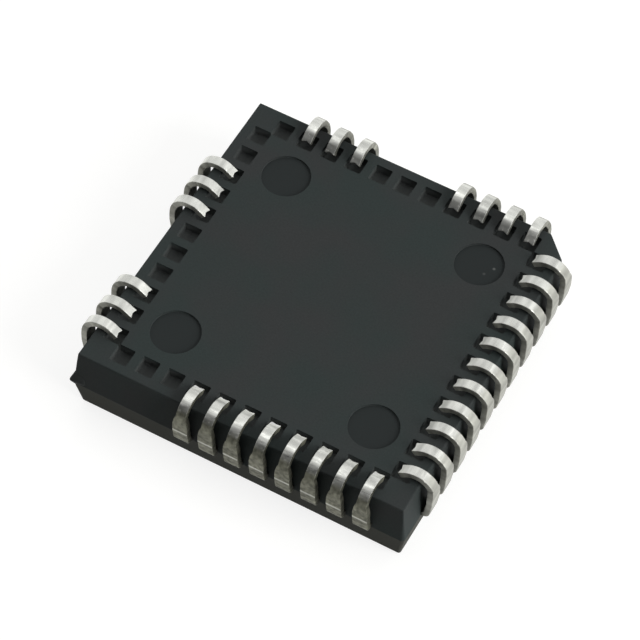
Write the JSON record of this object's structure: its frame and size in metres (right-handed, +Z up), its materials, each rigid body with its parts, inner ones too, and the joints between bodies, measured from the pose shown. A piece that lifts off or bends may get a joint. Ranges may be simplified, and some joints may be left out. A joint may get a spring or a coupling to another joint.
{
  "type": "plastic leaded chip carrier",
  "caption": "Square black epoxy chip package lying on its marking face, with J-bent tinned leads curled into pockets in its underside and a cut orientation corner.",
  "frame": {"origin": "middle of the marking face, which the chip lies on as in the picture", "axes": "+X along the front side, +Y towards the back side that holds pin 1, +Z up out of the underside towards the feet of the leads"},
  "size_m": [0.0176, 0.0176, 0.0042],
  "materials": {
    "epoxy": "matte, fine grained",
    "tin_plate": "satin tin plating",
    "copper_alloy": "bare",
    "adhesive": "silver filled",
    "silicon": "polished",
    "gold": "bright"
  },
  "bodies": {
    "root": {"moulded_body": "epoxy", "die_paddle": "copper_alloy", "die_attach": "adhesive", "silicon_die": "silicon", "bond_wires": "gold", "lead_03": "tin_plate", "lead_04": "tin_plate", "lead_05": "tin_plate", "lead_06": "tin_plate", "lead_07": "tin_plate", "lead_08": "tin_plate", "lead_09": "tin_plate", "lead_10": "tin_plate", "lead_11": "tin_plate", "lead_12": "tin_plate", "lead_13": "tin_plate", "lead_14": "tin_plate", "lead_15": "tin_plate", "lead_16": "tin_plate", "lead_17": "tin_plate", "lead_18": "tin_plate", "lead_19": "tin_plate", "lead_20": "tin_plate", "lead_21": "tin_plate", "lead_22": "tin_plate", "lead_23": "tin_plate", "lead_24": "tin_plate", "lead_25": "tin_plate", "lead_29": "tin_plate", "lead_30": "tin_plate", "lead_31": "tin_plate", "lead_35": "tin_plate", "lead_36": "tin_plate", "lead_37": "tin_plate", "lead_41": "tin_plate", "lead_42": "tin_plate", "lead_43": "tin_plate"}
  },
  "joints": []
}
